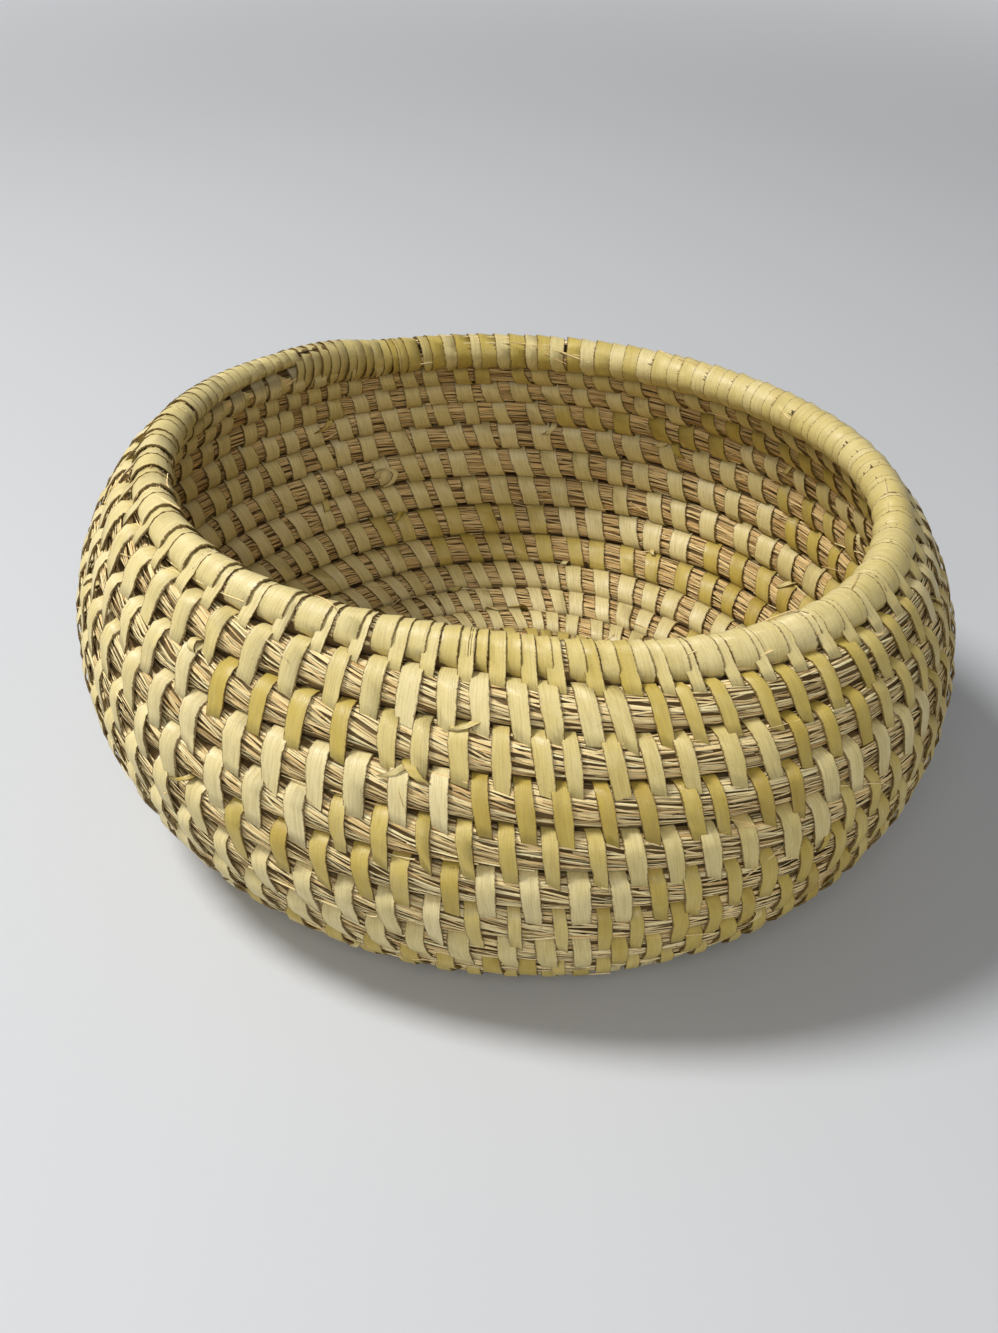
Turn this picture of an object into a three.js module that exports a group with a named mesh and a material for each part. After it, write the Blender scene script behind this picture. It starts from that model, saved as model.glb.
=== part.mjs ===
import * as THREE from 'three';

// A round basket coiled from one long bundle of grass, in millimetres with +Z up.
// The bundle starts at a knot in the middle of the base, winds out to the heel and up to the rim,
// and ends in a thin tail laid along the outside of the rim. A leaf strip is wound round the last turn.

// Outline of the wall, from the rim down to the heel
const rimRadius = 86;
const rimLean = 46.3;
const neckBendRadius = 68.4;
const heelBendRadius = 38.4;

// The coiled bundle of grass
const rowPitch = 10.1;
const rowGap = 0.6;
const bundleThickness = 9.4;
const footCut = 0.94;
const jointGap = 0.3;

// The hand-made rim is not a true circle: how far it swells, and the direction of each swelling
const rimShift = 6;
const rimShiftDirection = 102;
const rimOval = 7.1;
const rimOvalDirection = -11.5;
const rimLobes = 4.6;
const rimLobesDirection = -41;
const rimTilt = 1.2;
const rimTiltDirection = -4;
const rimSaddle = 4.2;
const rimSaddleDirection = -10.6;
const unevenWallShare = 0.9;

// The tail of the bundle at the rim
const tailDirection = 131;
const tailLength = 80;
const tailTipThickness = 4.2;
const tailOffset = 2.4;

// The leaf strip wound round the rim
const wrapThickness = 0.45;
const wrapClearance = 0.8;
const wrapGap = 0.8;
const wrapCount = 77;
const wrapEndGap = 4;

// The knot that the coil starts from, and the thin first end of the bundle that lies round it
const knotRadius = 5;
const knotClearance = 0.35;
const knotCrown = 2.2;
const startThickness = 3.4;
const knotSides = 16;

// The stretches of the wall from the rim down, each one turn of the coil
const wallStretches = [
  'rim_coil',
  'upper_neck_coil',
  'lower_neck_coil',
  'upper_shoulder_coil',
  'lower_shoulder_coil',
  'upper_belly_coil',
  'middle_belly_coil',
  'lower_belly_coil',
  'upper_flank_coil',
  'lower_flank_coil',
  'upper_heel_coil',
  'lower_heel_coil',
];

// Steps in a turn and sides of the bundle
const stepsInTurn = 24;
const bundleSides = 6;

const facets = { metalness: 0, flatShading: true };
const grass = new THREE.MeshStandardMaterial({ color: 0xb59a6c, roughness: 0.8, ...facets });
const leaf = new THREE.MeshStandardMaterial({ color: 0xd6c78e, roughness: 0.45, ...facets });

const degree = Math.PI / 180;
const fullTurn = 2 * Math.PI;

// The wall bends more and more tightly from the rim to the heel, where it runs into the flat base.
const wallLength = (Math.PI / 2 + rimLean * degree) * 2 / (1 / neckBendRadius + 1 / heelBendRadius);

function leanAt(distance) {
  const along = Math.min(Math.max(distance, 0), wallLength);
  const tightening = (1 / heelBendRadius - 1 / neckBendRadius) / (2 * wallLength);
  return rimLean * degree - along / neckBendRadius - along * along * tightening;
}

// Radius and height of the middle of the wall, at a distance along it down from the rim's centre
function outlineAt(distance) {
  const pieces = 48;
  const piece = distance / pieces;
  let radius = rimRadius;
  let height = 0;
  for (let i = 0; i < pieces; i += 1) {
    const lean = leanAt((i + 1 / 2) * piece);
    radius += Math.sin(lean) * piece;
    height -= Math.cos(lean) * piece;
  }
  return new THREE.Vector2(radius, height);
}

const heel = outlineAt(wallLength);
const floorLevel = heel.y - bundleThickness / 2 + footCut;
const knotSeat = knotRadius + knotClearance;
const startRadius = knotSeat + startThickness - (rowPitch - rowGap) / 2;
const lastTurn = (wallLength + heel.x - startRadius) / rowPitch + 1 / 2;

// The rim's unevenness, in radius and height, fading out down the wall
function unevenness(angle, distance) {
  const fade = 1 - Math.min(Math.max(distance / (wallLength * unevenWallShare), 0), 1);
  const swell = (size, lobes, direction) => size * Math.cos(lobes * (angle - direction * degree));
  const radius = swell(rimShift, 1, rimShiftDirection) + swell(rimOval, 2, rimOvalDirection)
    + swell(rimLobes, 3, rimLobesDirection);
  const height = swell(rimTilt, 1, rimTiltDirection) + swell(rimSaddle, 2, rimSaddleDirection);
  return new THREE.Vector2(radius * fade, height * fade);
}

// Turns are counted down from the tip of the tail, and the coil sinks by one row in each.
const angleOf = (turn) => tailDirection * degree + turn * fullTurn;
const distanceOf = (turn) => (turn - 1 / 2) * rowPitch;

function bundleCentre(turn) {
  const distance = distanceOf(turn);
  return outlineAt(distance).add(unevenness(angleOf(turn), distance));
}

const shortened = (vector, cut) => vector.clone().setLength(vector.length() - cut);

// The six corners of the bundle, in radius and height. Its upper and lower corners stop half a gap
// short of the line midway to the next row, so rows stay one gap apart wherever the rim swells.
function bundleCorners(turn, inset) {
  const centre = bundleCentre(turn);
  const lean = leanAt(distanceOf(turn));
  const outward = new THREE.Vector2(Math.cos(lean), Math.sin(lean));
  const down = shortened(bundleCentre(turn + 1).sub(centre).multiplyScalar(1 / 2), rowGap / 2);
  let up = down.clone().negate();
  if (turn >= 1) up = shortened(bundleCentre(turn - 1).sub(centre).multiplyScalar(1 / 2), rowGap / 2);

  const tailTurns = tailLength / (fullTurn * rimRadius);
  const toTip = THREE.MathUtils.smoothstep(tailTurns - turn, 0, tailTurns);
  const size = THREE.MathUtils.lerp(1, tailTipThickness / bundleThickness, toTip);
  centre.add(down.clone().multiplyScalar(1 - size)).addScaledVector(outward, tailOffset * toTip);
  down.multiplyScalar(size);
  up.multiplyScalar(size);

  const top = shortened(up, inset);
  const bottom = shortened(down, inset);
  const side = outward.multiplyScalar(bundleThickness / 2 * size - inset);
  const corners = [
    top,
    top.clone().multiplyScalar(1 / 2).add(side),
    bottom.clone().multiplyScalar(1 / 2).add(side),
    bottom,
    bottom.clone().multiplyScalar(1 / 2).sub(side),
    top.clone().multiplyScalar(1 / 2).sub(side),
  ];
  return corners.map((corner) => corner.add(centre));
}

// A corner of the bundle in space, on the straight line between the two nearest steps of the turn.
// The bundle is cut flat where the basket stands, and its first end narrows against the knot.
function cornerPoint(turn, corner, inset = 0) {
  const step = Math.floor(turn * stepsInTurn);
  const [before, after] = [step, step + 1].map((at) => {
    const flat = bundleCorners(at / stepsInTurn, inset)[corner];
    const angle = angleOf(at / stepsInTurn);
    const radius = Math.max(flat.x, knotSeat);
    const height = Math.max(flat.y, floorLevel);
    return new THREE.Vector3(radius * Math.cos(angle), radius * Math.sin(angle), height);
  });
  return before.lerp(after, turn * stepsInTurn - step);
}

// A closed tube through rings of points, all of the same count
function tubeThrough(rings) {
  const sides = rings[0].length;
  const faces = [];
  for (let ring = 0; ring + 1 < rings.length; ring += 1) {
    for (let side = 0; side < sides; side += 1) {
      const a = ring * sides + side;
      const b = ring * sides + (side + 1) % sides;
      faces.push(a, b, a + sides, b, b + sides, a + sides);
    }
  }
  const end = (rings.length - 1) * sides;
  for (let side = 1; side + 1 < sides; side += 1) {
    faces.push(0, side + 1, side, end, end + side, end + side + 1);
  }
  const geometry = new THREE.BufferGeometry().setFromPoints(rings.flat());
  geometry.setIndex(faces);
  geometry.computeVertexNormals();
  return geometry;
}

// The least distance between points of one tube that lie at least so many rings apart
function leastGap(rings, ringsApart) {
  const between = (ring, next) => ring.map((point, side) => point.clone().lerp(next[side], 1 / 2));
  const stations = rings.flatMap((ring, i) => [ring, between(ring, rings[i + 1] ?? ring)]);
  let least = Infinity;
  stations.forEach((station, i) => {
    for (const other of stations.slice(i + 2 * ringsApart).flat()) {
      least = Math.min(least, ...station.map((point) => point.distanceTo(other)));
    }
  });
  return least;
}

const basket = new THREE.Group();

function addPiece(name, geometry, material) {
  const piece = new THREE.Mesh(geometry, material);
  piece.name = name;
  basket.add(piece);
}

function addTube(name, rings, material, ringsApart) {
  addPiece(name, tubeThrough(rings), material);
  const gap = leastGap(rings, ringsApart);
  if (Number.isFinite(gap)) console.log(`${name}: least gap to itself ${gap.toFixed(2)} mm`);
}

// One stretch of the coil. Its lower end stops short of the next stretch, which it meets face to face.
function addStretch(name, firstTurn, endTurn, inset) {
  const firstStep = Math.round(firstTurn * stepsInTurn);
  const endStep = Math.round(endTurn * stepsInTurn);
  const rings = [];
  for (let step = firstStep; step <= endStep; step += 1) {
    let turn = step / stepsInTurn;
    if (step === endStep) turn -= jointGap / (fullTurn * bundleCentre(turn).x);
    rings.push(Array.from({ length: bundleSides }, (_, corner) => cornerPoint(turn, corner, inset)));
  }
  addTube(name, rings, grass, stepsInTurn - 2);
}

const wrapInset = wrapThickness + wrapClearance;
wallStretches.forEach((name, turn) => {
  addStretch(name, turn, turn + 1, name === 'rim_coil' ? wrapInset : 0);
});
addStretch('base_coil', wallStretches.length, lastTurn, 0);

// The leaf strip goes round the rim's bundle corner by corner, and the bundle fits inside it.
function addWrap() {
  const rimLength = fullTurn * rimRadius;
  const firstTurn = wrapEndGap / rimLength;
  const endTurn = 1 - wrapEndGap / rimLength;
  const pitch = (endTurn - firstTurn) / wrapCount;
  const halfWidth = (pitch - wrapGap / rimLength) / 2;
  const cornerCount = wrapCount * bundleSides;
  const rings = [];
  for (let i = 0; i <= cornerCount; i += 1) {
    const turn = THREE.MathUtils.lerp(firstTurn + halfWidth, endTurn - halfWidth, i / cornerCount);
    const corner = i % bundleSides;
    rings.push([
      cornerPoint(turn - halfWidth, corner, wrapThickness),
      cornerPoint(turn + halfWidth, corner, wrapThickness),
      cornerPoint(turn + halfWidth, corner),
      cornerPoint(turn - halfWidth, corner),
    ]);
  }
  addTube('rim_wrap', rings, leaf, bundleSides - 1);
}
addWrap();

// The knot fills the middle of the base, inside the first turn of the coil.
function addKnot() {
  const height = bundleThickness - footCut;
  const profile = [
    new THREE.Vector2(0, 0),
    new THREE.Vector2(knotRadius, 0),
    new THREE.Vector2(knotRadius, height - knotCrown),
    new THREE.Vector2(knotRadius - knotCrown, height),
    new THREE.Vector2(0, height),
  ];
  const knot = new THREE.LatheGeometry(profile, knotSides);
  knot.rotateX(Math.PI / 2);
  knot.translate(0, 0, floorLevel);
  addPiece('start_knot', knot, grass);
}
addKnot();

// The origin is under the middle of the basket's outline, on the surface that it stands on.
const outline = new THREE.Box3().setFromObject(basket);
const middle = outline.getCenter(new THREE.Vector3());
basket.position.set(-middle.x, -middle.y, -outline.min.z);

export default basket;
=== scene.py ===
import math

import bmesh
import bpy
import numpy as np
from mathutils import Matrix, Vector


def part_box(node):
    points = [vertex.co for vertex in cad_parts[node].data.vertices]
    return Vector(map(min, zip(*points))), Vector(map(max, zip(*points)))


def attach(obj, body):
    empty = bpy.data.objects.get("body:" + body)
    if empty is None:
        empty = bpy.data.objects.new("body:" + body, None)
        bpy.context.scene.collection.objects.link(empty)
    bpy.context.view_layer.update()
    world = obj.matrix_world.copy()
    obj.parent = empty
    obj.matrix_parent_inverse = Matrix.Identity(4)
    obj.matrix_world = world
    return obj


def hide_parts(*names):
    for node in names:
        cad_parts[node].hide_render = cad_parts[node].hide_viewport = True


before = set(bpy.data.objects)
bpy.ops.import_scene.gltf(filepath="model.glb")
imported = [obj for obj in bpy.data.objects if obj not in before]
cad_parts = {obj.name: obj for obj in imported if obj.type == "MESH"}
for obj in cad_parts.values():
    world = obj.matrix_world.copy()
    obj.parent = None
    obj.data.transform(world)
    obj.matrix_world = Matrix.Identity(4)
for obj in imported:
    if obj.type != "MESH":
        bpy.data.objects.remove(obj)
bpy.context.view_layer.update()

# The coil is one long bundle that climbs from the middle of the base to the rim, a row a turn.
# Its wall bends more and more tightly from the rim down to the heel, and the rim is not a true
# circle. Turns are counted down from the tip of the tail that lies on the rim.
rim_radius = 0.086
rim_lean = math.radians(46.3)
neck_bend_radius = 0.0684
heel_bend_radius = 0.0384
row_pitch = 0.0101
bundle_thickness = 0.0094
foot_cut = 0.00094
tail_direction = math.radians(131)
tail_length = 0.08
tail_tip_thickness = 0.0042
tail_offset = 0.0024
knot_seat = 0.00535
start_width = 0.0034
uneven_wall_share = 0.9
least_start_thickness = 0.6
# Where the wall leans in towards the base, the bundle's outer side is pressed flatter
pressed_share = 0.26
pressed_lean = 1.25
pressed_over = 0.28
least_height = 0.00005
# Each swelling of the rim: its size, how many lobes it has round the rim, and where it is largest
rim_swellings = [(0.006, 1, 102), (0.0071, 2, -11.5), (0.0046, 3, -41)]
rim_rises = [(0.0012, 1, -4), (0.0042, 2, -10.6)]
full_turn = 2 * math.pi
half_row = row_pitch / 2
wall_length = (math.pi / 2 + rim_lean) * 2 / (1 / neck_bend_radius + 1 / heel_bend_radius)


def lean_at(distance):
    """How far the wall leans out at a distance down it from the rim."""
    along = np.clip(distance, 0, wall_length)
    tightening = (1 / heel_bend_radius - 1 / neck_bend_radius) / (2 * wall_length)
    return rim_lean - along / neck_bend_radius - along**2 * tightening


outline_start = -0.04
outline_end = 0.25
outline_step = 0.00025
outline_way = np.arange(outline_start, outline_end, outline_step)
outline_leans = lean_at(outline_way + outline_step / 2)
outline_radii = np.cumsum(np.sin(outline_leans)) * outline_step
outline_heights = -np.cumsum(np.cos(outline_leans)) * outline_step
outline_radii += rim_radius - np.interp(-outline_step, outline_way, outline_radii)
outline_heights -= np.interp(-outline_step, outline_way, outline_heights)
outline_way = outline_way + outline_step


def outline(distance):
    """Radius and height of the wall's middle at a distance down it from the rim."""
    return (
        np.interp(distance, outline_way, outline_radii),
        np.interp(distance, outline_way, outline_heights),
    )


heel_radius, heel_height = outline(wall_length)
last_turn = (wall_length + heel_radius - knot_seat - start_width) / row_pitch + 1
knot_low, knot_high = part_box("start_knot")
axis = (knot_low + knot_high) / 2
lift = bundle_thickness / 2 - foot_cut - heel_height


def smooth(share):
    """Rises gently from 0 to 1 as the share does."""
    share = np.clip(share, 0, 1)
    return share * share * (3 - 2 * share)


def angle_at(turn):
    """The direction of a turn from the middle of the basket."""
    return tail_direction + turn * full_turn


def middle_line(turn, angle):
    """Radius and height of the bundle's middle, as that angle of the rim has them."""
    distance = (turn - 1 / 2) * row_pitch
    radius, height = outline(distance)
    fade = 1 - np.clip(distance / (wall_length * uneven_wall_share), 0, 1)
    for size, lobes, direction in rim_swellings:
        radius = radius + size * np.cos(lobes * (angle - math.radians(direction))) * fade
    for size, lobes, direction in rim_rises:
        height = height + size * np.cos(lobes * (angle - math.radians(direction))) * fade
    return radius, height


def tail_share(turn):
    """0 along the bundle, rising to 1 at the tip of its tail."""
    tail_turns = tail_length / (full_turn * rim_radius)
    return smooth((tail_turns - turn) / tail_turns)


def start_share(turn):
    """The share of its full width that the bundle has near its first end, round the knot."""
    free = outline((turn - 1 / 2) * row_pitch)[0] + half_row - knot_seat
    return np.clip(free / row_pitch, start_width / row_pitch, 1)


def on_wall(turn, down, out, aside=0):
    """A point of the basket, in metres. It lies so far down the wall from the bundle's middle, so
    far out from it, and so far aside along the bundle."""
    size = 1 - tail_share(turn) * (1 - tail_tip_thickness / bundle_thickness)
    first = start_share(turn)
    down = down * size * first + half_row * (1 - size) - half_row * (1 - first)
    out = out * size * np.maximum(first, least_start_thickness) + tail_offset * tail_share(turn)
    radius, height = middle_line(turn, angle_at(turn))
    turn = turn + aside / (full_turn * np.maximum(radius, start_width))
    angle = angle_at(turn)
    above, here, below = (np.array(middle_line(turn + step, angle)) for step in (-1, 0, 1))
    slope = (below - above) / 2
    bend = (below + above) / 2 - here
    part = down / row_pitch
    place = here + slope * part + bend * part**2
    way = slope + 2 * bend * part
    way = way / np.hypot(*way)
    lean = -lean_at((turn - 1 / 2) * row_pitch)
    pressed = 1 - pressed_share * smooth((lean - pressed_lean) / pressed_over)
    out = np.where(out > 0, out * pressed, out)
    radius = place[0] - way[1] * out
    height = np.maximum(place[1] + way[0] * out + lift, least_height)
    return np.stack([axis.x + radius * np.cos(angle), axis.y + radius * np.sin(angle), height], -1)


# How far along the bundle each turn lies, from the tip of the tail
first_mark = -0.1
mark_count = 4000
turn_marks = np.linspace(first_mark, last_turn, mark_count)
mark_radii = np.maximum(middle_line(turn_marks, angle_at(turn_marks))[0], start_width)
mark_step = turn_marks[1] - turn_marks[0]


def summed(rate):
    """The sum of so many a turn, counted from the tip of the tail."""
    total = np.concatenate([[0], np.cumsum(rate[:-1] * mark_step)])
    return total - np.interp(0, turn_marks, total)


bundle_way = summed(full_turn * mark_radii)
bundle_length = bundle_way[-1]


# The bundle is dry grass: about a hundred stems side by side all round it, a little crossed, over
# a heart painted dark, as the shade deep between them. All are copies of short rods, bent along
# the coil. Each stretch keeps the stems that start in it.
class Unit:
    """A closed shape of unit size, whose copies are bent into place. It stands on the origin."""

    def __init__(self, shape, parts):
        for cut in range(1, parts):
            everything = shape.verts[:] + shape.edges[:] + shape.faces[:]
            level = (0, 0, cut / parts)
            bmesh.ops.bisect_plane(shape, geom=everything, plane_co=level, plane_no=(0, 0, 1))
        bmesh.ops.recalc_face_normals(shape, faces=shape.faces)
        shape.verts.index_update()
        self.points = np.array([vert.co for vert in shape.verts])
        self.corners = np.array([vert.index for face in shape.faces for vert in face.verts])
        self.counts = np.array([len(face.verts) for face in shape.faces])
        self.across, self.thick, self.along = self.points.T[:, None, :]
        shape.free()


def rod(sides, parts):
    """A round rod, cut across into parts."""
    shape = bmesh.new()
    bmesh.ops.create_cone(
        shape, cap_ends=True, segments=sides, radius1=1 / 2, radius2=1 / 2, depth=1
    )
    bmesh.ops.translate(shape, verts=shape.verts, vec=(0, 0, 1 / 2))
    return Unit(shape, parts)


def strip(parts):
    """A flat strip, cut across into parts."""
    shape = bmesh.new()
    bmesh.ops.create_cube(shape, size=1)
    bmesh.ops.translate(shape, verts=shape.verts, vec=(0, 0, 1 / 2))
    return Unit(shape, parts)


def at_points(values, places):
    """Three values for each point of the copies."""
    return np.stack(np.broadcast_arrays(*values, places[..., 0])[:3], -1).reshape(-1, 3)


sharp_edge = math.radians(75)


def make_piece(name, batches, material):
    """One mesh of all the copies. A batch is a unit, the copies' points, and for each point its
    grain (across, along and seed) and its look (tone, depth of painted shade, and edge)."""
    mesh = bpy.data.meshes.new(name)
    first = 0
    corners, counts, points, grains, looks = [], [], [], [], []
    for unit, places, grain, look in batches:
        starts = first + np.arange(len(places)) * len(unit.points)
        corners.append((unit.corners[None] + starts[:, None]).ravel())
        counts.append(np.tile(unit.counts, len(places)))
        points.append(places.reshape(-1, 3))
        grains.append(at_points(grain, places))
        looks.append(at_points(look, places))
        first += places.shape[0] * places.shape[1]
    corners, counts = np.concatenate(corners), np.concatenate(counts)
    mesh.vertices.add(first)
    mesh.vertices.foreach_set("co", np.concatenate(points).astype(np.float32).ravel())
    mesh.loops.add(len(corners))
    mesh.loops.foreach_set("vertex_index", corners.astype(np.int32))
    mesh.polygons.add(len(counts))
    mesh.polygons.foreach_set("loop_start", (np.cumsum(counts) - counts).astype(np.int32))
    mesh.polygons.foreach_set("use_smooth", np.ones(len(counts), bool))
    mesh.update(calc_edges=True)
    mesh.set_sharp_from_angle(angle=sharp_edge)
    for title, values in (("grain", grains), ("look", looks)):
        attribute = mesh.attributes.new(title, "FLOAT_VECTOR", "POINT")
        attribute.data.foreach_set("vector", np.concatenate(values).astype(np.float32).ravel())
    mesh.materials.append(material)
    piece = bpy.data.objects.new(name, mesh)
    bpy.context.scene.collection.objects.link(piece)
    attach(piece, "root")
    return piece


class Value:
    """What a socket gives. Sums on it become nodes of its material."""

    def __init__(self, finish, socket):
        self.finish = finish
        self.socket = socket

    def reckon(self, operation, first, second=0.0):
        """One step of arithmetic."""
        inputs = {0: first, 1: second}
        return self.finish.node("ShaderNodeMath", {"operation": operation}, inputs)

    def __add__(self, other):
        return self.reckon("ADD", self, other)

    def __sub__(self, other):
        return self.reckon("SUBTRACT", self, other)

    def __mul__(self, other):
        return self.reckon("MULTIPLY", self, other)

    def __rsub__(self, other):
        return self.reckon("SUBTRACT", other, self)

    __radd__ = __add__
    __rmul__ = __mul__

    def __abs__(self):
        return self.reckon("ABSOLUTE", self)


class Finish:
    """A material, to which nodes are added one at a time."""

    def __init__(self, name):
        self.material = bpy.data.materials.new(name)
        self.material.use_nodes = True
        self.nodes = self.material.node_tree.nodes
        self.shader = self.nodes["Principled BSDF"]

    def feed(self, socket, value):
        """Link a value to a socket, or set the socket to a plain number or colour."""
        if isinstance(value, Value):
            self.material.node_tree.links.new(value.socket, socket)
        else:
            socket.default_value = value

    def node(self, kind, settings=None, inputs=None, output=0, stops=()):
        """One node. The first two stops of a colour ramp are its ends."""
        made = self.nodes.new(kind)
        for name, value in (settings or {}).items():
            setattr(made, name, value)
        for i, (place, colour) in enumerate(stops):
            ramp = made.color_ramp.elements
            stop = ramp[i] if i < 2 else ramp.new(place)
            stop.position = place
            stop.color = colour
        for key, value in (inputs or {}).items():
            self.feed(made.inputs[key], value)
        return Value(self, made.outputs[output])

    def mix(self, share, first, second):
        """A colour, the first at a share of 0 and the second at 1."""
        settings = {"data_type": "RGBA"}
        return self.node("ShaderNodeMix", settings, {0: share, 6: first, 7: second}, 2)

    def ease(self, value, low, high, first=0.0, last=1.0):
        """Goes gently from first to last while the value goes from low to high."""
        settings = {"interpolation_type": "SMOOTHSTEP"}
        inputs = {0: value, 1: low, 2: high, 3: first, 4: last}
        return self.node("ShaderNodeMapRange", settings, inputs)

    def noise(self, vector, scale, detail, stretch=None):
        """Cloudy noise, drawn out where the stretch is small."""
        if stretch:
            settings = {"operation": "MULTIPLY"}
            vector = self.node("ShaderNodeVectorMath", settings, {0: vector, 1: stretch})
        inputs = {"Vector": vector, "Scale": scale, "Detail": detail}
        return self.node("ShaderNodeTexNoise", None, inputs)

    def bump(self, strength, distance, height):
        """Small hills in the shading only."""
        inputs = {"Strength": strength, "Distance": distance, "Height": height}
        return self.node("ShaderNodeBump", None, inputs)

    def surface(self, shine, **inputs):
        """Set the inputs of the shader, each by its name with underscores for spaces."""
        self.feed(self.shader.inputs["Specular IOR Level"], shine)
        for name, value in inputs.items():
            self.feed(self.shader.inputs[name.replace("_", " ")], value)


def tint(red, green, blue):
    """A colour as it is named on a screen, from 0 to 255, for a material."""
    shares = [channel / 255 for channel in (red, green, blue)]
    bright = [s / 12.92 if s <= 0.04045 else ((s + 0.055) / 1.055) ** 2.4 for s in shares]
    return (*bright, 1.0)


def grain_and_look(finish):
    """The grain of a piece, and the tone, painted shade depth and edge of its look."""
    grain, look = (
        finish.node("ShaderNodeAttribute", {"attribute_name": name}, None, "Vector")
        for name in ("grain", "look")
    )
    parts = (finish.node("ShaderNodeSeparateXYZ", None, {0: look}, part) for part in range(3))
    return grain, *parts


def grass_finish():
    """Dry grass stems: tan and straw, each its own tone, with fine lines along them, and painted
    shade at their sides and where they lie deep.
    """
    finish = Finish("dry_grass")
    grain, tone, depth, edge = grain_and_look(finish)
    lines = finish.noise(grain, scale=2.0, detail=3.0, stretch=(1.6, 0.09, 1.0))
    patches = finish.noise(grain, scale=1.3, detail=2.0, stretch=(0.15, 0.07, 1.0))
    patchiness = 0.5
    shade = tone + (patches - 0.5) * patchiness
    stops = [
        (0.0, tint(134, 98, 54)),
        (1.0, tint(252, 238, 184)),
        (0.2, tint(211, 173, 112)),
        (0.42, tint(239, 208, 147)),
        (0.62, tint(248, 221, 160)),
        (0.8, tint(252, 230, 172)),
    ]
    colour = finish.node("ShaderNodeValToRGB", None, {0: shade}, 0, stops)
    lined = finish.ease(lines, low=0.42, high=0.72, last=0.3)
    worn = finish.mix(lined, colour, tint(158, 121, 78))
    # Painted shade: each stem's sides are darkened, as the gaps between the stems are
    shadowed = finish.ease(abs(edge), low=0.3, high=0.43, last=0.97)
    sides = finish.mix(shadowed, worn, tint(32, 17, 4))
    # Painted shade: darker as far as the look's depth says
    with_painted_shade = finish.mix(depth, sides, tint(32, 18, 5))
    rough = finish.ease(lines, low=0.3, high=0.7, first=0.55, last=0.8)
    bump = finish.bump(strength=0.35, distance=0.0003, height=lines)
    finish.surface(shine=0.12, Base_Color=with_painted_shade, Roughness=rough, Normal=bump)
    return finish.material


grass = grass_finish()
luck = np.random.default_rng(17)
stem_unit = rod(sides=5, parts=6)
fibre_unit = rod(sides=4, parts=6)
heart_unit = rod(sides=10, parts=2)
to_millimetres = 1000
seed_reach = 90
seed_step = 37
stem_reach_out = 0.0042
stem_reach_down = 0.0049
rim_share = 0.9
roundness = 2 / 2.4
# Stems side by side round the bundle: fewer from the base's first turn on, where few are seen
thinned_turns = (12, 12.5)
stem_counts = (98, 88)
stems_around = np.interp(turn_marks, thinned_turns, stem_counts)
stem_width = 0.00061
stem_width_spread = (0.75, 1.35)
stem_taper = 0.3
flatness_spread = (0.6, 0.95)
stem_length = 0.046
stem_length_spread = (0.6, 1.4)
shortening_radius = 0.024
least_length_share = 0.12
# Steps that place stems evenly along the bundle and round it, without a pattern
even_steps = (0.7548776662, 0.5698402910)
phase_spread = 0.05
# How far the stems wind round the bundle, in radians a metre, and more so on one side
bundle_twist = -10.0
twist_swell = -50.0
twisted_towards = math.radians(207)
swell_rise = 1.6
swell_start = 0.6
plain_drift = 0.12
sway_spread = 0.07
sway_rate = 9
# Some stems lie across the others, some lie a little sunk, and all tuck their ends in
crossed_share = 0.2
crossed_drift = 0.7
crossed_lift = 0.03
sunk_share = 0.1
sunk_power = 1.6
tucked_share = 0.14
tucked_power = 9
# How light the stems are, the painted shade where they lie sunk, tucked in or in a groove, and how
# much darker their tone is on the inside
stem_tones = (3.2, 1.7)
sunk_painted_shade = 3
tucked_painted_shade = 2
groove_shade_strength = 0.9
groove_start = 0.83
groove_width = 0.12
inside_rise = 1.5
inside_darkening = 0.45
# How wide the painted shade at each stem's sides is, and how much less of it there is on the
# inside
inside_edge_share = 0.16
edge_spread = (0.7, 1.15)
fibres_in_metre = 70
fibre_lengths = (0.006, 0.028)
fibre_width = 0.0003
fibre_width_spread = (0.7, 1.3)
fibre_drift = 0.8
fibre_reach = 1.11
fibre_rises = (-0.04, 0.3)
fibre_tones = (0.3, 1)
hearts_in_turn = 48
heart_share = 0.88
heart_closing_share = 1.03
heart_grain = 4.5
# The heart's look: a low tone and strong painted shade, for the shade deep inside the bundle
heart_painted_shade_look = (0.2, 0.75, 0.0)
shortenings = np.clip(mark_radii / shortening_radius, least_length_share, 1)
stem_lengths = stem_length * shortenings
stem_number = summed(stems_around * full_turn * mark_radii / stem_lengths)


def squircle(phase):
    """A point of the bundle's outline, which is a little squarer than an ellipse."""
    down, out = np.cos(phase), np.sin(phase)
    return (
        np.sign(down) * np.abs(down) ** roundness,
        np.sign(out) * np.abs(out) ** roundness,
    )


def bent_rods(unit, start, length, phase, reach, width, flatness):
    """Rods along the bundle, each from its start on, at a changing phase and reach round it."""
    turn = np.interp(start + unit.along * length, bundle_way, turn_marks)
    reach = reach * np.where(turn < 1, rim_share, 1)
    down, out = squircle(phase)
    across = unit.across * width
    thick = unit.thick * width * flatness
    down = down * stem_reach_down * reach - across * np.sin(phase) + thick * np.cos(phase)
    out = out * stem_reach_out * reach + across * np.cos(phase) + thick * np.sin(phase)
    return on_wall(turn, down, out)


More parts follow.
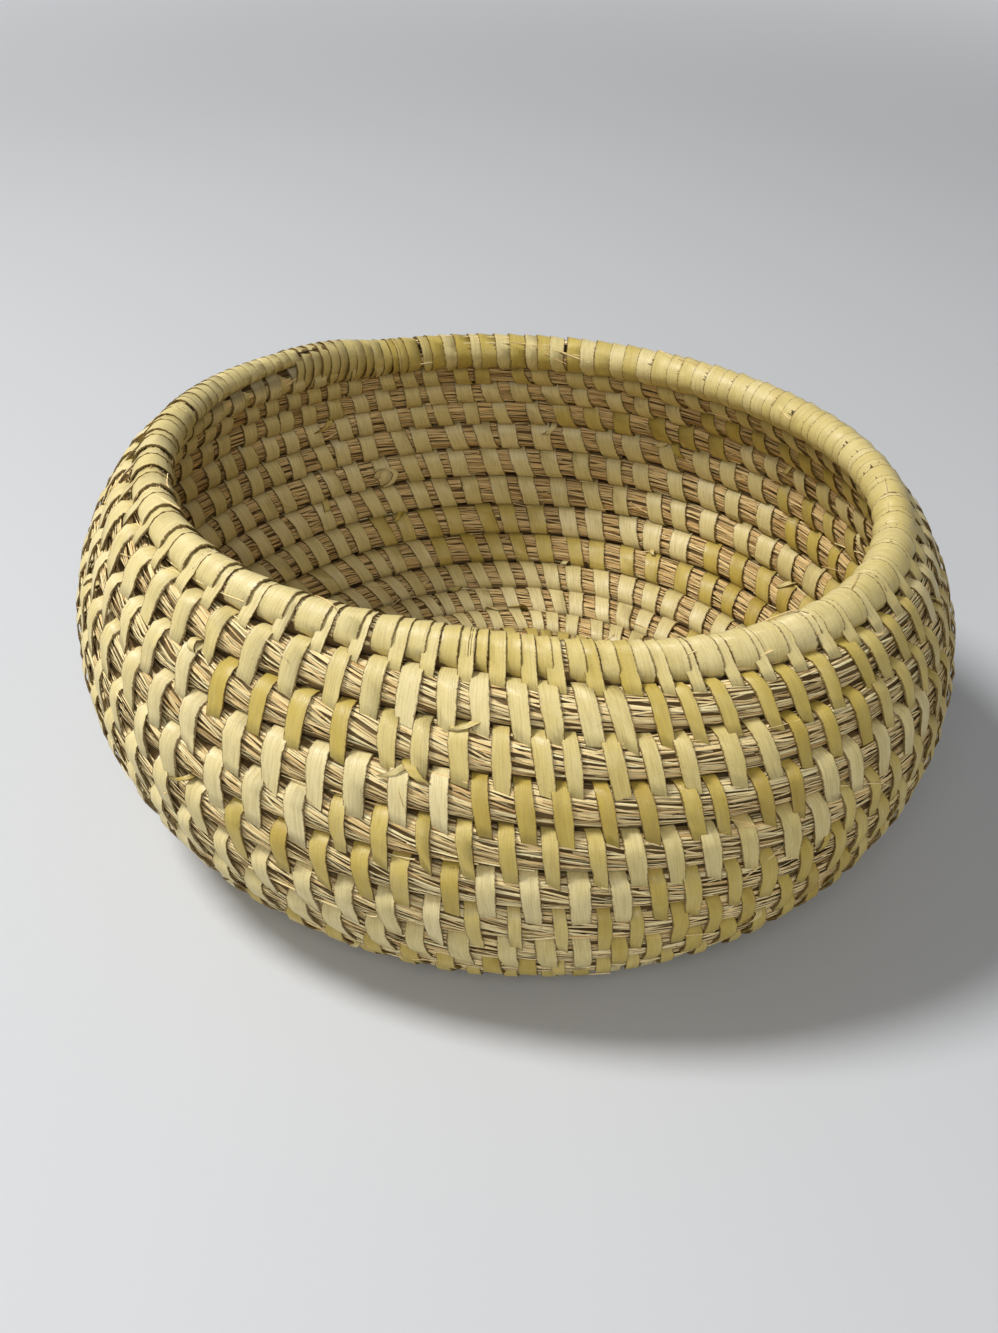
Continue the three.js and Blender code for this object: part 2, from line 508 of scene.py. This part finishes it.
def stems_from(first_turn, end_turn):
    """The stems that start in one stretch."""
    first, end = np.interp([first_turn, end_turn], turn_marks, stem_number)
    count = round(end - first)
    each = (count, 1)
    order = np.arange(count)[:, None]
    along = stem_unit.along
    number = first + (end - first) * ((order * even_steps[0]) % 1)
    length = np.interp(number, stem_number, stem_lengths) * luck.uniform(*stem_length_spread, each)
    start = np.minimum(np.interp(number, stem_number, bundle_way), bundle_length - length)
    crossed = luck.random(each) < crossed_share
    phase = full_turn * ((order * even_steps[1]) % 1) + luck.normal(0, phase_spread, each)
    towards = np.cos(np.interp(number, stem_number, angle_at(turn_marks)) - twisted_towards)
    drift = (bundle_twist + twist_swell * smooth(swell_rise * towards - swell_start)) * length
    drift = drift + luck.normal(0, 1, each) * np.where(crossed, crossed_drift, plain_drift)
    sway = luck.normal(0, sway_spread, each)
    sway = sway * np.sin(luck.uniform(0, full_turn, each) + sway_rate * along)
    phase = phase + drift * (along - 1 / 2) + sway
    fullness = 1 - sunk_share * luck.random(each) ** sunk_power + crossed * crossed_lift
    tucked = 1 - tucked_share * np.abs(2 * along - 1) ** tucked_power
    width = stem_width * luck.uniform(*stem_width_spread, each) * (1 - stem_taper * along)
    flatness = luck.uniform(*flatness_spread, each)
    places = bent_rods(stem_unit, start, length, phase, fullness * tucked, width, flatness)
    seed = luck.uniform(0, seed_reach, each)
    tone = luck.beta(*stem_tones, each)
    inside = smooth(-inside_rise * np.sin(phase))
    # Painted shade on stems that lie sunk, tucked in or in the groove between rows
    painted_groove_shade = groove_shade_strength * smooth((np.abs(np.cos(phase)) - groove_start) / groove_width)
    depth = np.clip((1 - fullness) * sunk_painted_shade + (1 - tucked) * tucked_painted_shade + painted_groove_shade, 0, 1)
    # The edge sets the painted shade at each stem's sides
    edge = stem_unit.across * luck.uniform(*edge_spread, each) * (1 - inside_edge_share * inside)
    tone = tone * (1 - inside_darkening * inside)
    grain = (2 * stem_unit.across, to_millimetres * length * along + seed_step * seed, seed)
    return stem_unit, places, grain, (tone, depth, edge)


def loose_fibres(first_turn, end_turn):
    """Fine fibres that have come free and lie over the bundle, some with an end in the air."""
    first, end = np.interp([first_turn, end_turn], turn_marks, bundle_way)
    count = round(fibres_in_metre * (end - first))
    each = (count, 1)
    along = fibre_unit.along
    length = luck.uniform(*fibre_lengths, each)
    start = np.minimum(luck.uniform(first, end, each), bundle_length - length)
    phase = luck.uniform(0, full_turn, each) + luck.normal(0, fibre_drift, each) * (along - 1 / 2)
    reach = fibre_reach + luck.uniform(*fibre_rises, each) * along**3
    width = fibre_width * luck.uniform(*fibre_width_spread, each)
    places = bent_rods(fibre_unit, start, length, phase, reach, width, 1)
    seed = luck.uniform(0, seed_reach, each)
    grain = (fibre_unit.across, to_millimetres * length * along + seed_step * seed, seed)
    return fibre_unit, places, grain, (luck.uniform(*fibre_tones, each), 0.0, 0.0)


def heart_of(first_turn, end_turn):
    """The heart of the bundle, in short lengths that meet end to end. It closes the rows, and is
    painted dark as the shade deep between the stems.
    """
    count = round((end_turn - first_turn) * hearts_in_turn)
    share = (np.arange(count)[:, None] + heart_unit.along) / count
    turn = first_turn + (end_turn - first_turn) * share
    phase = np.arctan2(heart_unit.across, heart_unit.thick) + 0 * turn
    size = 2 * np.hypot(heart_unit.across, heart_unit.thick)
    down, out = squircle(phase)
    top_of_rim = (turn < 1) & (down > 0)
    rim_reach = stem_reach_down * rim_share * heart_share
    reach_down = np.where(top_of_rim, rim_reach, half_row * heart_closing_share)
    reach_out = stem_reach_out * heart_share
    places = on_wall(turn, -down * size * reach_down, -out * size * reach_out)
    way = to_millimetres * np.interp(turn, turn_marks, bundle_way)
    return heart_unit, places, (heart_grain * phase, way, 0 * turn), heart_painted_shade_look


wall_stretches = [
    "rim_coil",
    "upper_neck_coil",
    "lower_neck_coil",
    "upper_shoulder_coil",
    "lower_shoulder_coil",
    "upper_belly_coil",
    "middle_belly_coil",
    "lower_belly_coil",
    "upper_flank_coil",
    "lower_flank_coil",
    "upper_heel_coil",
    "lower_heel_coil",
]
base_turn = len(wall_stretches)
stretch_turns = [(name, turn, turn + 1) for turn, name in enumerate(wall_stretches)]
stretch_turns.append(("base_coil", base_turn, last_turn))
for name, first_turn, end_turn in stretch_turns:
    stretch = (first_turn, end_turn)
    batches = [stems_from(*stretch), heart_of(*stretch), loose_fibres(*stretch)]
    bundle = make_piece(f"{name}_grass", batches, grass)
    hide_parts(name)


# Each row is bound to the row below it with leaf: a splint goes over the row and down through the
# top of the row below, some 68 times a turn. One splint makes several stitches before the next.
# Every stitch is a copy of one flat strip, bent over its row.
def leaf_finish():
    """Split leaf: pale straw to golden, with fine ribs along it, and thin dark edges that are
    partly its own ragged edge and partly painted shadow.
    """
    finish = Finish("split_leaf")
    grain, tone, depth, edge = grain_and_look(finish)
    ribs = finish.noise(grain, scale=3.2, detail=3.0, stretch=(1.0, 0.05, 1.0))
    patches = finish.noise(grain, scale=1.2, detail=3.0, stretch=(0.35, 0.12, 1.0))
    specks = finish.noise(grain, scale=2.6, detail=2.0, stretch=(1.0, 0.7, 1.0))
    teeth = finish.noise(grain, scale=1.0, detail=1.0, stretch=(0.6, 2.2, 1.0))
    patchiness = 0.35
    tooth_size = 0.26
    shadow_share = 0.75
    shade = tone + (patches - 0.5) * patchiness
    stops = [
        (0.0, tint(228, 211, 156)),
        (1.0, tint(166, 138, 52)),
        (0.3, tint(216, 198, 135)),
        (0.55, tint(206, 185, 111)),
        (0.8, tint(191, 167, 77)),
    ]
    colour = finish.node("ShaderNodeValToRGB", None, {0: shade}, 0, stops)
    rib_share = finish.ease(ribs, low=0.4, high=0.72, last=0.35)
    ribbed = finish.mix(rib_share, colour, tint(160, 136, 78))
    speck_share = finish.ease(specks, low=0.62, high=0.76, last=0.3)
    spotted = finish.mix(speck_share, ribbed, tint(134, 108, 56))
    # The dark margin is partly the leaf's own ragged edge and partly painted shadow beside each
    # strip
    margin = abs(edge) + (teeth - 0.5) * tooth_size
    margin_share = finish.ease(margin, low=0.87, high=1.0, last=0.9)
    edge_and_shadow = finish.mix(margin_share, spotted, tint(100, 74, 26))
    # Painted shade at the strips' ends, at their inner ends and on top of each row under the row
    # above
    with_painted_shade = finish.mix(depth * shadow_share, edge_and_shadow, tint(60, 42, 16))
    rough = finish.ease(patches, low=0.3, high=0.7, first=0.38, last=0.56)
    bump = finish.bump(strength=0.3, distance=0.0003, height=ribs + specks)
    finish.surface(shine=0.5, Base_Color=with_painted_shade, Roughness=rough, Normal=bump)
    return finish.material


leaf = leaf_finish()
luck = np.random.default_rng(7)
stitches_in_turn = 68.33
stitch_crowding = 0.15
crowded_towards = math.radians(320)
least_stitch_pitch = 0.0056
turn_spread = 0.08
leaf_thickness = 0.00042
raggedness = 0.00007
strip_seed_step = 31
pale_width = 0.0043
golden_width = 0.0036
splint_width_spread = (0.85, 1.2)
# Each splint makes three to eight stitches
splint_run = (3, 9)
golden_share = 0.42
golden_swing = 0.42
golden_towards = math.radians(325)
golden_tint = 0.1
golden_tint_share = 0.4
golden_tones = (0.48, 0.82)
pale_tones = (0.08, 0.36)
tone_spread = 0.05
# Both ends of every strip have painted shade, where they go into the grass
end_painted_shade = 0.8
end_sharpness = 14
stitch_unit = strip(parts=14)
millimetre = 0.001
# The way of a stitch, from its end inside the basket over the top of the row to its end outside:
# how far down the wall and how far out it lies, and how far aside it slants
stitch_down = np.array([
    5.5, 5.25, 4.6, 2.6, -0.4, -3.1, -4.8, -5.3, -4.9, -3.2, -0.6, 2.4, 5.2, 7.6, 8.1,
])
stitch_out = np.array([
    -0.9, -2.4, -3.75, -4.65, -4.95, -4.3, -2.5, 0, 2.3, 4.3, 4.95, 4.75, 4.25, 4.1, 2.6,
])
stitch_aside = np.array([
    -3.9, -3.8, -3.4, -2.7, -1.9, -1.2, -0.85, -0.7, -0.6, -0.4, -0.1, 0.3, 0.7, 1.05, 1.1,
])
outer_end = slice(12, None)
# How unevenly a hand pulls a stitch down, out and at its outer end, and how far it slants
pull_down = 0.00016
pull_out = 0.00004
pull_end = 0.00025
slant_spread = (0.6, 1.4)
stitch_width_spread = (0.88, 1.08)
widest_share = 0.62
# Pairs of lists: places along a stitch, and its width there or how far it is skewed
inside_widths = ([0.4, 0.55], [1.42, 1])
outer_widths = ([0.8, 0.93], [1, 0.84])
skewed_part = ([0.7, 0.86], [0, 1])
skew_spread = (0.3, 0.25)
# The shadow at a stitch's inner end and on top of its row, under the row above
inner_shade = 0.85
inner_shade_reach = 0.17
top_shade = 0.45
top_shade_place = 0.45
top_shade_reach = 0.1
tail_groove_turn = 1.12
tail_groove_shade = 0.9
pinched_turn = 4.294
pinched_widths = ([0.6, 0.75, 0.88, 1], [1.1, 1.2, 0.3, 0.6])
pinched_tone = 0.82


def splints(turns):
    """For each stitch, the tone and width of its splint. More of them are golden on one side."""
    tones, widths = [], []
    while len(tones) < len(turns):
        run = luck.integers(*splint_run)
        turned = math.cos(angle_at(turns[len(tones)]) - golden_towards)
        golden = luck.random() < golden_share + golden_swing * turned
        tone = luck.uniform(*golden_tones) if golden else luck.uniform(*pale_tones)
        tone += golden_tint * turned * (golden_tint_share if golden else 1)
        wide = golden_width if golden else pale_width
        tones += [tone] * run
        widths += [wide * luck.uniform(*splint_width_spread)] * run
    tones, widths = np.array(tones[:len(turns)]), np.array(widths[:len(turns)])
    return (tones + luck.normal(0, tone_spread, len(turns)))[:, None], widths[:, None]


def bent_strips(unit, turn, down, out, aside, width, tone, tilt=0.0, skew=0.0, shade=0.0):
    """Strips bent along a way given for each of a unit's cuts, at so many turns of the coil."""
    cuts = down.shape[-1] - 1
    at = np.rint(unit.along[0] * cuts).astype(int)
    slope_down, slope_out = np.gradient(down, axis=-1), np.gradient(out, axis=-1)
    length = np.hypot(slope_down, slope_out)
    face_down, face_out = -slope_out / length, slope_down / length
    run = np.cumsum(length, -1) * to_millimetres
    ragged = luck.normal(0, raggedness, (len(turn), len(unit.points)))
    side = unit.across * width + ragged + aside[..., at]
    lifted = unit.thick * leaf_thickness + tilt * unit.across * 2
    places = on_wall(
        turn[:, None],
        down[..., at] + face_down[..., at] * lifted + skew * unit.across * width,
        out[..., at] + face_out[..., at] * lifted,
        side,
    )
    seed = luck.uniform(0, seed_reach, (len(turn), 1))
    grain = (to_millimetres * unit.across * width, run[..., at] + strip_seed_step * seed, seed)
    # Painted shade at both ends of the strip, where it goes into the grass
    shaded_ends = np.abs(2 * unit.along - 1) ** end_sharpness
    edge = 2 * unit.across + 0 * turn[:, None]
    return unit, places, grain, (tone, shaded_ends * end_painted_shade + shade, edge)


crowding = 1 + stitch_crowding * np.cos(2 * (angle_at(turn_marks) - crowded_towards))
stitch_rate = np.minimum(stitches_in_turn * crowding, full_turn * mark_radii / least_stitch_pitch)
stitch_pitches = full_turn * mark_radii / stitch_rate
stitch_number = summed(stitch_rate)
stitch_turns = np.interp(np.arange(1, int(stitch_number[-1])), stitch_number, turn_marks)
stitch_turns = stitch_turns + luck.normal(0, turn_spread, len(stitch_turns)) / stitches_in_turn
stitch_tones, stitch_widths = splints(stitch_turns)


def stitches_of(mine):
    """The stitches of one row, a little uneven as a hand pulls them."""
    turn, tone = stitch_turns[mine], stitch_tones[mine]
    each, points = (len(turn), 1), (len(turn), len(stitch_down))
    along = stitch_unit.along
    down = stitch_down * millimetre + luck.normal(0, pull_down, points)
    down[:, outer_end] += luck.normal(0, pull_end, each)
    out = stitch_out * millimetre + luck.normal(0, pull_out, points)
    aside = stitch_aside * millimetre * luck.uniform(*slant_spread, each)
    inside = np.interp(along, *inside_widths)
    pitch = np.interp(turn, turn_marks, stitch_pitches)[:, None]
    width = stitch_widths[mine] * inside * luck.uniform(*stitch_width_spread, each)
    width = np.minimum(width, widest_share * pitch) * np.interp(along, *outer_widths)
    skew = luck.normal(*skew_spread, each) * np.interp(along, *skewed_part)
    pinched = np.abs(turn - pinched_turn)[:, None] < 0.5 / stitches_in_turn
    width = width * np.where(pinched, np.interp(along, *pinched_widths), 1)
    tone = np.where(pinched, pinched_tone, tone)
    on_top = smooth(1 - np.abs(along - top_shade_place) / top_shade_reach)
    top = np.where(turn < tail_groove_turn, tail_groove_shade, top_shade)[:, None]
    shade = inner_shade * smooth(1 - along / inner_shade_reach) + top * on_top
    return bent_strips(stitch_unit, turn, down, out, aside, width, tone, skew=skew, shade=shade)


ends_in_turn = 7
end_unit = strip(parts=4)
# The way of a splint's loose end, out of the groove under a row and over the row below
end_down = np.array([4.4, 5.2, 6.2, 7.2, 8.0])
end_out = np.array([2.0, 4.2, 4.75, 4.95, 4.9])
end_aside = np.array([0, 0.5, 1.4, 2.5, 3.8])
outside_share = 0.65
end_lengths = (0.5, 1.2)
end_slants = (-1.5, 1.5)
end_widths = (0.0014, 0.0028)
end_tones = (0.1, 0.9)


def splint_ends(first_turn, end_turn):
    """Short ends of splints left in the grooves, two thirds of them outside."""
    count = round(ends_in_turn * (end_turn - first_turn))
    each = (count, 1)
    turn = luck.uniform(first_turn, end_turn, count)
    side = np.where(luck.random(each) < outside_share, 1, -1)
    length = luck.uniform(*end_lengths, each)
    down = millimetre * (end_down[0] + (end_down - end_down[0]) * length)
    out = millimetre * side * end_out
    aside = millimetre * end_aside * luck.uniform(*end_slants, each)
    width = luck.uniform(*end_widths, each)
    tone = luck.uniform(*end_tones, each)
    return bent_strips(end_unit, turn, down, out, aside, width, tone)


ring_parts = 16
ring_unit = strip(parts=ring_parts)
curl_turn = 5.957
curl_radius = 0.0026
curl_stretch = 1.2
curl_opening = 4
curl_start = math.radians(60)
curl_sweep = math.radians(330)
curl_reach = 0.0049
curl_lift = 0.0016
curl_width = 0.0021
curl_tone = 0.1


def curled_end():
    """The end of one splint, curled into a loop on the inside at the back."""
    way = np.linspace(0, 1, ring_parts + 1)[None]
    round_loop = curl_start + curl_sweep * way
    down = curl_radius * np.sin(round_loop) + curl_radius * (1 - way) ** curl_opening
    out = -curl_reach - curl_lift * np.sin(math.pi * way)
    aside = curl_radius * curl_stretch * np.cos(round_loop)
    turn = np.array([curl_turn])
    return bent_strips(ring_unit, turn, down, out, aside, curl_width, curl_tone)


for name, first_turn, end_turn in stretch_turns[1:]:
    mine = (stitch_turns >= first_turn) & (stitch_turns < end_turn)
    batches = [stitches_of(mine), splint_ends(first_turn, end_turn)]
    if first_turn <= curl_turn < end_turn:
        batches.append(curled_end())
    make_piece(f"{name}_stitches", batches, leaf)


# The rim is covered all round. Rings of leaf go round the last turn alone, and between them run
# the legs of the stitches that bind it. The tail has close rings of its own, and at its tip the
# rings hold the tail and the turn under it together.
rim_tone_spread = 0.06
# By direction in degrees: the tones of the rings and legs, and each ring's share of its pitch
ring_tones = [
    (0, 0.5), (30, 0.42), (62, 0.45), (72, 0.75), (108, 0.8), (120, 0.5), (135, 0.3),
    (180, 0.25), (235, 0.2), (250, 0.4), (262, 0.55), (286, 0.6), (291, 0.3), (325, 0.34),
    (345, 0.47), (360, 0.5),
]
leg_tones = [
    (0, 0.42), (62, 0.4), (72, 0.25), (104, 0.25), (112, 0.6), (120, 0.3), (180, 0.25),
    (235, 0.16), (250, 0.36), (262, 0.52), (286, 0.6), (291, 0.3), (325, 0.34), (345, 0.44),
    (360, 0.42),
]
ring_shares = [
    (0, 0.7), (62, 0.62), (120, 0.55), (180, 0.7), (212, 0.8), (236, 0.76), (252, 0.58),
    (264, 0.53), (286, 0.53), (293, 0.72), (300, 0.78), (330, 0.78), (360, 0.7),
]
ring_end_turn = 1.14
ring_turn_spread = 0.02
ring_width_spread = (0.94, 1.06)
ring_reach_out = 0.0046
ring_reach_down = 0.0047
ring_opening = 0.12
ring_slant = 0.0021
ring_slant_share = 0.75
ring_tilt = 0.0003
# The turns where rings start to rise over the tip of the tail, where they hold all of it, and
# where the last of them is
hold_turns = (0.955, 0.999, 1.022)
tip_reach_up = 0.0042
tip_reach_out = 0.0016
tip_roundness = 0.7
tail_first_turn = 0.022
tail_legs_turn = 0.095
tail_ring_shade = 0.9
tail_ring_shade_reach = 0.2
close_ring_pitch = 0.0031
close_width_spread = (0.95, 1.2)
# The legs cover what the rings leave bare, and a little more
covering_share = 1.13
least_leg_share = 0.42
leg_over_rim = slice(3, 12)
leg_pull = 0.0001
leg_slant_share = 0.7
leg_width_spread = (0.92, 1.08)
# Pairs of lists: a leg's height beside rings of a share, and its width at places along it
leg_heights = ([0.6, 0.75], [1.0, 0.94])
leg_widths = ([0, 0.2, 0.3, 0.7, 0.82, 1], [0.75, 0.8, 1, 1, 0.9, 0.82])
# One ring at the front is split, with narrow shreds in its place
slit_turn = 0.3597
slit_width_share = 0.7
split_apart = 0.0014
split_width = 0.0003
split_tone = 0.05


def round_rim(table, turn):
    """A value for each turn, from a table by direction round the rim."""
    return np.interp(np.degrees(angle_at(turn)) % 360, *zip(*table))[:, None]


def ring_batch(turn, width, tone):
    """Rings round the last turn, and where the tip of the tail lies on it, round both."""
    phase = np.linspace(ring_opening, full_turn - ring_opening, ring_parts + 1)[None]
    phase = phase + 0 * turn[:, None]
    down, out = squircle(-phase)
    start, full, end = hold_turns
    held = smooth((turn - start) / (full - start)) * (turn < end)
    top = np.clip(-down, 0, 1) ** tip_roundness * held[:, None]
    down = down * ring_reach_down - tip_reach_up * top
    out = out * ring_reach_out + tip_reach_out * top
    aside = ring_slant * (phase / full_turn - ring_slant_share)
    shade = tail_ring_shade * smooth(1 - ring_unit.along / tail_ring_shade_reach)
    shade = shade * (turn < tail_legs_turn)[:, None]
    return bent_strips(ring_unit, turn, down, out, aside, width, tone, tilt=ring_tilt, shade=shade)


def ring_wraps():
    """The rings of the rim, wide or narrow as the splint was."""
    first, end = np.interp([tail_legs_turn, ring_end_turn], turn_marks, stitch_number)
    numbers = np.arange(math.ceil(first) - 0.5, end)
    turn = np.interp(numbers, stitch_number, turn_marks)
    turn = turn[(turn < hold_turns[0]) | (turn > hold_turns[2])]
    turn = turn + luck.normal(0, ring_turn_spread, len(turn)) / stitches_in_turn
    pitch = np.interp(turn, turn_marks, stitch_pitches)[:, None]
    each = (len(turn), 1)
    width = pitch * round_rim(ring_shares, turn) * luck.uniform(*ring_width_spread, each)
    width[np.abs(turn - slit_turn).argmin()] *= slit_width_share
    tone = round_rim(ring_tones, turn) + luck.normal(0, rim_tone_spread, each)
    return ring_batch(turn, width, tone)


def close_wraps(first_turn, end_turn):
    """Narrow rings side by side."""
    first, end = np.interp([first_turn, end_turn], turn_marks, bundle_way)
    turn = np.interp(np.arange(first, end, close_ring_pitch), bundle_way, turn_marks)
    each = (len(turn), 1)
    width = close_ring_pitch * luck.uniform(*close_width_spread, each)
    tone = round_rim(ring_tones, turn) + luck.normal(0, rim_tone_spread, each)
    return ring_batch(turn, width, tone)


def leg_wraps():
    """The binding stitches of the last turn."""
    turn = stitch_turns[(stitch_turns < 1) & (stitch_turns > tail_legs_turn)]
    each, points = (len(turn), 1), (len(turn), len(stitch_down))
    ring_share = round_rim(ring_shares, turn)
    down = stitch_down * millimetre + luck.normal(0, leg_pull, points)
    out = stitch_out * millimetre + 0 * down
    sharpness = 2 / roundness
    reached = np.abs(down[:, leg_over_rim] / ring_reach_down) ** sharpness
    reached = reached + np.abs(out[:, leg_over_rim] / ring_reach_out) ** sharpness
    height = np.interp(ring_share, *leg_heights) / reached ** (1 / sharpness)
    down[:, leg_over_rim] *= height
    out[:, leg_over_rim] *= height
    aside = stitch_aside * leg_slant_share * millimetre + 0 * down
    pitch = np.interp(turn, turn_marks, stitch_pitches)[:, None]
    share = np.maximum(covering_share - ring_share, least_leg_share)
    narrowing = np.interp(stitch_unit.along, *leg_widths)
    width = pitch * share * narrowing * luck.uniform(*leg_width_spread, each)
    tone = round_rim(leg_tones, turn) + luck.normal(0, rim_tone_spread, each)
    return bent_strips(stitch_unit, turn, down, out, aside, width, tone, tilt=ring_tilt)


split_turns = slit_turn + split_apart * np.arange(-1, 2)
split_wraps = ring_batch(split_turns, split_width, split_tone)
tail_wraps = close_wraps(tail_first_turn, tail_legs_turn)
tip_wraps = close_wraps(hold_turns[0], hold_turns[2])
wraps = [ring_wraps(), leg_wraps(), split_wraps, tail_wraps, tip_wraps]
binding = make_piece("rim_binding", wraps, leaf)
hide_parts("rim_wrap")


# The coil starts round a small ring of grass in the middle of the base, closely wound with leaf.
# Both are the same rods and strips as above, bent round the ring.
knot_ring_radius = 0.00268
knot_half_width = 0.00205
knot_half_height = 0.0039
knot_stems = 12
knot_stem_reach = 0.8
knot_stem_width = 0.5
knot_stem_height = 0.28
knot_stem_sweep = 0.995
knot_stem_step = 0.7
knot_stem_grain = 16
# The knot stems' look: a tone, a little painted shade, and no edge
knot_stem_look_and_shade = (0.4, 0.3, 0.0)
knot_turns = 15
knot_leaf_width = 0.0021
knot_leaf_thickness = 0.16
knot_leaf_sweep = 0.97
knot_leaf_start = 0.1
knot_leaf_narrowest = 0.4
knot_leaf_widening = 0.25
knot_leaf_grain = 20
knot_leaf_tones = (0.2, 0.5)
# A little painted shade on the knot's leaf
knot_leaf_painted_shade = 0.1


def on_knot(angle, inward, out):
    """A point about the ring of the knot."""
    radius = knot_ring_radius + inward * knot_half_width
    height = knot_low.z + (knot_high.z - knot_low.z) / 2 + out * knot_half_height
    x, y, height = np.broadcast_arrays(radius * np.cos(angle), radius * np.sin(angle), height)
    return np.stack([axis.x + x, axis.y + y, height], -1)


def knot_grass():
    """Stems side by side round the ring, each going once round it."""
    along = stem_unit.along
    phase = np.linspace(0, full_turn, knot_stems, endpoint=False)[:, None]
    angle = -full_turn * along * knot_stem_sweep + phase * knot_stem_step
    inward = np.cos(phase) * knot_stem_reach + stem_unit.across * knot_stem_width
    out = np.sin(phase) * knot_stem_reach + stem_unit.thick * knot_stem_height
    seed = luck.uniform(0, seed_reach, (knot_stems, 1))
    grain = (stem_unit.across, knot_stem_grain * along + seed, seed)
    return stem_unit, on_knot(angle, inward, out), grain, knot_stem_look_and_shade


def knot_winding():
    """Rings of leaf round the ring of grass, narrower towards its middle."""
    across, along = ring_unit.across, ring_unit.along
    turn = np.linspace(0, full_turn, knot_turns, endpoint=False)[:, None]
    phase = full_turn * along * knot_leaf_sweep + knot_leaf_start
    size = 1 + ring_unit.thick * knot_leaf_thickness
    inward, out = np.cos(phase) * size, np.sin(phase) * size
    radius = knot_ring_radius + inward * knot_half_width
    widening = knot_leaf_narrowest + knot_leaf_widening * radius / knot_ring_radius
    angle = turn - across * knot_leaf_width / knot_ring_radius * widening
    seed = luck.uniform(0, seed_reach, (knot_turns, 1))
    tone = luck.uniform(*knot_leaf_tones, (knot_turns, 1))
    grain = (2 * across, knot_leaf_grain * along + seed, seed)
    return ring_unit, on_knot(angle, inward, out), grain, (tone, knot_leaf_painted_shade, 2 * across)


knot = make_piece("start_knot_grass", [knot_grass()], grass)
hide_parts("start_knot")
make_piece("start_knot_winding", [knot_winding()], leaf)


# Studio: a pale floor, a broad soft lamp above to the left, a weaker one in front and pale light
# all round.
floor_reach = 4.0
faded_from = 0.55
faded_at = 1.4
sky_strength = 0.165
backdrop_strength = 0.74
lamp_target = Vector((0, 0, 0.04))


def floor_finish():
    """A pale floor. Far from the basket it looks as pale as the backdrop, without giving light."""
    finish = Finish("studio_floor")
    place = finish.node("ShaderNodeTexCoord", None, None, "Object")
    cloud = finish.noise(place, scale=3.0, detail=1.0)
    pale = finish.mix(cloud, tint(200, 202, 204), tint(205, 206, 208))
    rays = ("Is Camera Ray", "Is Glossy Ray", "Is Transmission Ray")
    seen = sum(finish.node("ShaderNodeLightPath", None, None, ray) for ray in rays)
    far = finish.node("ShaderNodeVectorMath", {"operation": "LENGTH"}, {0: place}, "Value")
    share = seen * finish.ease(far, faded_from, faded_at)
    glow = finish.mix(share, tint(0, 0, 0), tint(191, 192, 194))
    finish.surface(
        shine=0.15, Base_Color=pale, Roughness=0.6, Emission_Color=glow, Emission_Strength=1.0
    )
    return finish.material


floor_mesh = bmesh.new()
bmesh.ops.create_grid(floor_mesh, x_segments=1, y_segments=1, size=floor_reach)
floor = bpy.data.objects.new("floor", bpy.data.meshes.new("floor"))
floor_mesh.to_mesh(floor.data)
floor_mesh.free()
floor.data.materials.append(floor_finish())
bpy.context.scene.collection.objects.link(floor)


def add_lamp(name, place, width, power):
    """A round soft lamp that faces the basket."""
    data = bpy.data.lights.new(name, "AREA")
    data.shape = "DISK"
    data.size = width
    data.energy = power
    lamp = bpy.data.objects.new(name, data)
    lamp.location = place
    lamp.rotation_mode = "QUATERNION"
    lamp.rotation_quaternion = (lamp_target - lamp.location).to_track_quat("-Z", "Y")
    bpy.context.scene.collection.objects.link(lamp)


add_lamp("key_lamp", place=(-0.66, -0.02, 1.12), width=0.36, power=14.9)
add_lamp("front_lamp", place=(-0.05, -1.1, 0.9), width=0.8, power=6.1)

# What is seen of the sky, straight or in a glossy surface, is paler than the light that it gives
world = bpy.data.worlds.new("sky")
world.use_nodes = True
world_nodes, world_links = world.node_tree.nodes, world.node_tree.links
sky = world_nodes["Background"]
sky.inputs["Color"].default_value = tint(246, 247, 250)
rays = world_nodes.new("ShaderNodeLightPath")
seen, mirrored = (world_nodes.new("ShaderNodeMath") for _ in range(2))
strength = world_nodes.new("ShaderNodeMapRange")
strength.inputs["To Min"].default_value = sky_strength
strength.inputs["To Max"].default_value = backdrop_strength
world_links.new(rays.outputs["Is Glossy Ray"], mirrored.inputs[0])
world_links.new(rays.outputs["Is Transmission Ray"], mirrored.inputs[1])
world_links.new(rays.outputs["Is Camera Ray"], seen.inputs[0])
world_links.new(mirrored.outputs[0], seen.inputs[1])
world_links.new(seen.outputs[0], strength.inputs["Value"])
world_links.new(strength.outputs[0], sky.inputs["Strength"])
bpy.context.scene.world = world

# The camera stands before the basket, above its rim, and is turned a little.
camera_place = Vector((-0.0052470, -0.374924, 0.218482))
camera_pitch = math.radians(36.2604)
camera_roll = math.radians(2.2013)
photo_height = 1333
focal_pixels = 1700
ahead = Vector((0, math.cos(camera_pitch), -math.sin(camera_pitch)))
upward = Vector((0, math.sin(camera_pitch), math.cos(camera_pitch)))
right = Vector((1, 0, 0))
rolled_right = right * math.cos(camera_roll) + upward * math.sin(camera_roll)
rolled_up = upward * math.cos(camera_roll) - right * math.sin(camera_roll)
camera_data = bpy.data.cameras.new("camera")
camera_data.lens = camera_data.sensor_width * focal_pixels / photo_height
camera = bpy.data.objects.new("camera", camera_data)
turned = Matrix((rolled_right, rolled_up, -ahead)).transposed().to_4x4()
camera.matrix_world = Matrix.Translation(camera_place + Vector((axis.x, axis.y, lift))) @ turned
bpy.context.scene.collection.objects.link(camera)
bpy.context.scene.camera = camera
bpy.context.scene.view_settings.view_transform = "Standard"
